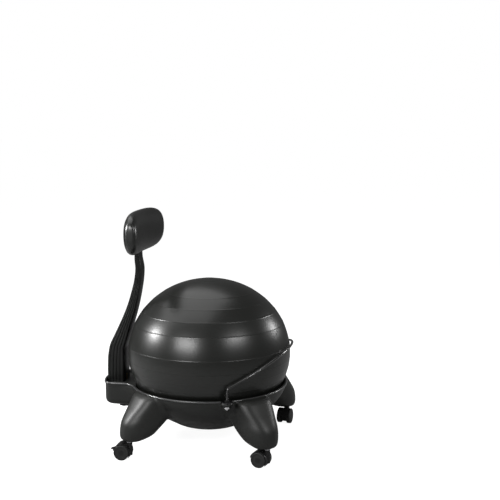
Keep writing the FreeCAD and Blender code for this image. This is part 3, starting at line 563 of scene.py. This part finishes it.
def makeBase():
    # the skins overlap; a voxel remesh runs them together and the creases are softened before the cuts
    levels, around = baseGrid["bowl"]
    bowl = np.array(baseSet["bowl"]) * 0.001
    flat = [[baseSet["axisGap"], bowl[0, 1]], [baseSet["bowlFlat"], bowl[0, 1]]]
    parts = [closedLoft(spun(np.vstack([flat, smoothThrough(bowl[1:], levels)]), around))]
    parts += [closedLoft(legRings(x, y)) for x, y in stems]
    parts.append(closedLoft(platformRings()))
    for side in (-1, 1):
        for shape in ("lug", "web"):
            x, y = baseSet[shape + "Place"]
            parts.append(closedLoft(spun(np.array(baseSet[shape]), baseGrid["lug"]) + [side * x, y, 0]))
    body = buildMesh("baseBody", *joined(parts), finish["basePlastic"])
    outward(body)
    remesh = body.modifiers.new("join", "REMESH")
    remesh.mode = "VOXEL"
    remesh.voxel_size = baseSet["voxel"]
    eased(body, baseSet["smoothing"])
    applied(body)
    fillHollows(body)
    tools = [dishTool(), trayTool()]
    for tool in tools:
        outward(tool)
        cut = body.modifiers.new("cut", "BOOLEAN")
        cut.operation = "DIFFERENCE"
        cut.object = tool
        cut.solver = "EXACT"
    applied(body)
    for tool in tools:
        bpy.data.objects.remove(tool)
    mesh = body.data
    mesh.polygons.foreach_set("use_smooth", [True] * len(mesh.polygons))
    mesh.set_sharp_from_angle(angle=math.radians(baseSet["sharpAngle"]))
    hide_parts("base_shell")
    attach(body, "chair_frame")


def makeRimLip():
    # rolled lip: a circle of radius r carried round the rim outline, at line + side x r cos a and
    # rim height - r + r sin a
    line = rimOutline(0.0)
    ahead = np.roll(line, -1, 0) - np.roll(line, 1, 0)
    ahead /= np.linalg.norm(ahead, axis=1)[:, None]
    side = np.stack([ahead[:, 1], -ahead[:, 0]], 1)
    a = np.linspace(0, 2 * np.pi, baseGrid["lip"], endpoint=False)
    r = baseSet["lipRadius"]
    lip = np.stack([line[:, None, 0] + side[:, None, 0] * r * np.cos(a),
                    line[:, None, 1] + side[:, None, 1] * r * np.cos(a),
                    baseSet["rimHeight"] - r + 0 * line[:, None, 0] + r * np.sin(a)], -1)
    # the lip's lighter finish is partly wear and partly a painted highlight along the rim
    rim = buildMesh("rimLip", lip.reshape(-1, 3), gridFaces(*lip.shape[:2], True), finish["lipWornPaintedHighlight"])
    outward(rim)
    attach(rim, "chair_frame")


makeBase()
makeRimLip()
print("base made")


# Column: a ribbed section carried up a curved line

columnSet = {
    # y, z and thickness in mm up the rear line, then height and half-width
    "line": [(351.5, 197.3, 58), (351.5, 250, 59), (349, 292, 57), (342.5, 324, 52), (327, 357, 46),
             (313, 386, 40), (298.5, 417, 35), (280.5, 461, 30), (264.5, 513, 26), (254.5, 555, 23),
             (251, 590, 21), (253.5, 622, 18), (251.5, 650, 15), (247.8, 672, 13.5), (247, 690, 13),
             (247, 719, 13)],
    "widths": [(197, 38), (260, 38), (340, 35), (430, 31.5), (540, 25), (640, 24), (724, 23)],
    # grooves along the sides, the section's crown, and the length and drop of its corner rounds
    "grooves": [0.2, 0.4, 0.6, 0.8], "grooveDepth": 0.0016, "grooveWidth": 0.028, "rearCrown": 0.10,
    "frontCrown": 0.04, "rearRound": (0.09, 0.14), "frontRound": (0.06, 0.08),
    "stations": 160, "across": 49, "sharpAngle": 50.0}


def cornerRound(fromEdge, length, drop):
    # a quarter oval that falls by drop over the last length before an edge: 1 - drop + drop sqrt(1 - q^2)
    q = np.clip(length - fromEdge, 0, 1) / length
    return np.sqrt(np.clip(1 - q ** 2, 0, 1)) * drop + (1 - drop)


def makeColumn():
    # the line holds y, z and thickness; across the thickness s runs from 0 at the rear to 1 at the front, and
    # the half-width is w (1 - rear (1 - s)^6 - front s^12) x corner rounds, less a bell curve at each groove
    line = smoothThrough(np.array(columnSet["line"]) * 0.001, columnSet["stations"])
    ahead = np.gradient(line[:, :2], axis=0)
    ahead /= np.linalg.norm(ahead, axis=1)[:, None]
    # the thickness runs towards the ball, and level at the foot
    normal = np.stack([-ahead[:, 1], ahead[:, 0]], 1)
    normal[0] = [-1, 0]
    heights, halves = np.array(columnSet["widths"]).T * 0.001
    half = np.interp(line[:, 1], heights, halves)
    s = np.linspace(0, 1, columnSet["across"])
    crown = 1 - columnSet["rearCrown"] * (1 - s) ** 6 - columnSet["frontCrown"] * s ** 12
    rounding = cornerRound(s, *columnSet["rearRound"]) * cornerRound(1 - s, *columnSet["frontRound"])
    dip = sum(np.exp(-((s - g) / columnSet["grooveWidth"]) ** 2) for g in columnSet["grooves"])
    x = half[:, None] * crown * rounding - columnSet["grooveDepth"] * dip
    depth = line[:, 2][:, None] * s
    y = line[:, 0][:, None] + normal[:, 0][:, None] * depth
    z = line[:, 1][:, None] + normal[:, 1][:, None] * depth
    rings = np.concatenate([np.stack([x, y, z], -1), np.stack([-x, y, z], -1)[:, ::-1]], 1)
    piece = buildMesh("supportColumn", *closedLoft(rings), finish["columnPlastic"])
    outward(piece)
    piece.data.set_sharp_from_angle(angle=math.radians(columnSet["sharpAngle"]))
    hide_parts("column")
    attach(piece, "chair_frame")


makeColumn()
print("column made")


# Back pad: an oval section carried along a curve, in two shells that meet at a seam

padSet = {
    "half": 0.185, "height": 0.142, "depth": 0.060, "centreY": 0.238, "centreZ": 0.716, "sweep": 0.020,
    "power": 0.9, "seam": 0.019, "gap": 0.0007, "sharpAngle": 50.0,
    # the edges at the seam: their rounding, the part of the section it takes, and how far they turn in
    "edgeRound": 0.0011, "edgeShare": 0.022, "edgeFade": 0.4, "lipIn": 0.005, "lipShare": 0.8,
    # the grid: stations in the middle and at the ends, and points round the section
    "stations": (46, 44), "middleTo": 0.9, "endFrom": 0.902, "endHeights": (0.76, 0.015), "endGap": 0.0002,
    "across": 113}


def padStations(reach):
    # places along the pad from one end to the other, crowded where the ends close:
    # x = (1 - f^4)^(1/4) for heights f, times the reach
    middleCount, endCount = padSet["stations"]
    middle = np.linspace(0, padSet["middleTo"], middleCount)
    closing = (1 - np.linspace(*padSet["endHeights"], endCount) ** 4) ** 0.25
    half = reach * np.r_[middle, closing[closing > padSet["endFrom"]]]
    return np.r_[-half[:0:-1], half]


def padShell(name, front):
    # half-depth d and half-height h fall off as (1 - s^4)^(1/4) along the pad, the section is
    # y = d |cos a|^power, z = h |sin a|^power with their signs, and the seam stands where y reaches its place
    seam = padSet["seam"] + (-padSet["gap"] if front else padSet["gap"])
    s = padStations(1.0 if front else (1 - (2 * seam / padSet["depth"]) ** 4) ** 0.25 - padSet["endGap"])
    fall = (1 - s ** 4) ** 0.25
    middle = padSet["centreY"] - padSet["sweep"] * s ** 2
    halfDepth, halfHeight = padSet["depth"] / 2 * fall, padSet["height"] / 2 * fall
    openAngle = np.arccos(np.clip(seam / halfDepth, -1, 1) ** (1 / padSet["power"]))[:, None]
    share = np.linspace(0, 1, padSet["across"])
    angle = openAngle + share * 2 * (np.pi - openAngle) if front else -openAngle + share * 2 * openAngle
    cosine, sine = np.cos(angle), np.sin(angle)
    y = halfDepth[:, None] * np.sign(cosine) * np.abs(cosine) ** padSet["power"]
    z = halfHeight[:, None] * np.sign(sine) * np.abs(sine) ** padSet["power"]
    # the edges at the seam are rounded over and then turn in
    strength = np.clip(openAngle / padSet["edgeFade"], 0, 1)
    near = np.clip(1 - np.minimum(share, 1 - share) / padSet["edgeShare"], 0, 1) ** 2
    z = z - np.sign(z) * padSet["edgeRound"] * near * strength
    edges = z[:, [0, -1]]
    turned = np.sign(edges) * np.minimum(padSet["lipIn"] * strength, padSet["lipShare"] * np.abs(edges))
    y = np.concatenate([y[:, :1], y, y[:, -1:]], 1)
    z = np.concatenate([z[:, :1] - turned[:, :1], z, z[:, -1:] - turned[:, 1:]], 1)
    points = np.stack([padSet["half"] * s[:, None] + 0 * y, middle[:, None] + y, padSet["centreZ"] + z], -1)
    piece = buildMesh(name, *closedLoft(points), finish["padGloss"])
    outward(piece)
    piece.data.set_sharp_from_angle(angle=math.radians(padSet["sharpAngle"]))
    return piece


def makePad():
    # the front shell reaches round past the seam, and the rear shell closes it
    for name, front, node in (("padFront", True, "pad_front_shell"), ("padRear", False, "pad_rear_shell")):
        piece = padShell(name, front)
        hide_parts(node)
        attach(piece, "chair_frame")


makePad()
print("pad made")


# Finishes for the CAD pieces that stay

nodeFinish = {"retaining_bar": "barPaint", "bar_washers": "darkZinc", "bar_collars": "knobPlastic",
              "cap_nuts": "chromePlate", "column_insert": "turnedBrass", "knob_washer": "zincPlate",
              "knob": "knobPlastic", "knob_stud": "zincPlate", "pad_screws": "barPaint",
              "pad_bolts": "zincPlate", "valve_plug": "plugPlastic", "stem_sleeves": "zincPlate",
              "caster_stems": "zincPlate", "grip_rings": "zincPlate"}
casterFinish = {"_axle": "zincPlate", "_pin": "zincPlate", "_wheel_a": "wheelNylon", "_wheel_b": "wheelNylon",
                "_cap_a": "hoodPlastic", "_cap_b": "hoodPlastic", "_hood": "hoodPlastic",
                "_lever": "hoodPlastic"}
for node, thing in nodes.items():
    byEnd = [name for end, name in casterFinish.items() if node.endswith(end)]
    chosen = nodeFinish.get(node) or (byEnd[0] if byEnd else None)
    if chosen:
        for place in thing.material_slots:
            place.material = finish[chosen]


# Floor, white surround and studio lamps

studio = {"floorHalf": 40.0, "floorColour": 0.30, "floorRough": 0.9, "floorGlow": 0.94, "worldFill": 0.20,
          "worldShine": 0.12}


def addFloor():
    # the floor is lit as a dull grey, and for the camera alone it glows nearly white
    size = studio["floorHalf"]
    corners = np.array([(-size, -size, 0), (size, -size, 0), (size, size, 0), (-size, size, 0)])
    material = bpy.data.materials.new("floorWhite")
    material.use_nodes = True
    tree = material.node_tree
    new, link = tree.nodes.new, tree.links.new
    shader = tree.nodes["Principled BSDF"]
    shader.inputs["Base Color"].default_value = (studio["floorColour"],) * 3 + (1,)
    shader.inputs["Roughness"].default_value = studio["floorRough"]
    shader.inputs["Specular IOR Level"].default_value = 0.0
    glow = new("ShaderNodeEmission")
    path = new("ShaderNodeLightPath")
    level = new("ShaderNodeMath")
    level.operation = "MULTIPLY"
    level.inputs[1].default_value = studio["floorGlow"]
    link(path.outputs["Is Camera Ray"], level.inputs[0])
    link(level.outputs[0], glow.inputs["Strength"])
    both = new("ShaderNodeAddShader")
    link(shader.outputs[0], both.inputs[0])
    link(glow.outputs[0], both.inputs[1])
    link(both.outputs[0], tree.nodes["Material Output"].inputs["Surface"])
    floor = buildMesh("floor", corners, [(0, 1, 2, 3)], material)


def addWorld():
    # the camera sees plain white, metal and gloss see a dim surround, and everything else gets the fill
    world = bpy.data.worlds.new("surround")
    bpy.context.scene.world = world
    world.use_nodes = True
    tree = world.node_tree
    new, link = tree.nodes.new, tree.links.new
    back = tree.nodes["Background"]
    back.inputs["Color"].default_value = (1, 1, 1, 1)
    path = new("ShaderNodeLightPath")
    seen = new("ShaderNodeMath")
    seen.operation = "MAXIMUM"
    link(path.outputs["Is Camera Ray"], seen.inputs[0])
    link(path.outputs["Is Transmission Ray"], seen.inputs[1])
    shine = new("ShaderNodeMapRange")
    shine.inputs["To Min"].default_value = studio["worldFill"]
    shine.inputs["To Max"].default_value = studio["worldShine"]
    link(path.outputs["Is Glossy Ray"], shine.inputs["Value"])
    level = new("ShaderNodeMapRange")
    link(seen.outputs[0], level.inputs["Value"])
    link(shine.outputs[0], level.inputs["To Min"])
    link(level.outputs[0], back.inputs["Strength"])


lamps = [
    # name, direction in the camera's right, up and back, distance, width, height, watts
    ("sideLamp", (-0.919, 0.377, 0.111), 2.0, 0.34, 0.30, 38.0),
    ("frontLeftLamp", (-0.473, 0.306, 0.826), 2.6, 1.15, 0.45, 36.0),
    ("frontRightLamp", (0.591, 0.415, 0.692), 2.6, 1.10, 0.30, 22.0),
    ("farLamp", (0.869, 0.353, -0.347), 2.2, 0.40, 0.40, 11.0),
    ("topLamp", (-0.3, 0.95, 0.0), 2.4, 2.8, 2.8, 44.0)]


def addLamps():
    # each lamp stands at centre + distance x direction and faces the ball's centre
    right, up, back = cameraAxes(cameraSet["azimuth"], cameraSet["pitch"])
    centre = np.array([0, 0, ballSet["centre"]])
    for name, way, distance, width, height, watts in lamps:
        direction = way[0] * right + way[1] * up + way[2] * back
        direction /= np.linalg.norm(direction)
        data = bpy.data.lights.new(name, "AREA")
        data.shape = "RECTANGLE"
        data.size, data.size_y = width, height
        data.energy = watts
        lamp = bpy.data.objects.new(name, data)
        bpy.context.collection.objects.link(lamp)
        lamp.location = (centre + direction * distance).tolist()
        lamp.rotation_euler = Vector((-direction).tolist()).to_track_quat("-Z", "Y").to_euler()
        lamp.visible_camera = False


addFloor()
addWorld()
addLamps()
bpy.context.scene.view_settings.view_transform = "Standard"
print("studio set")
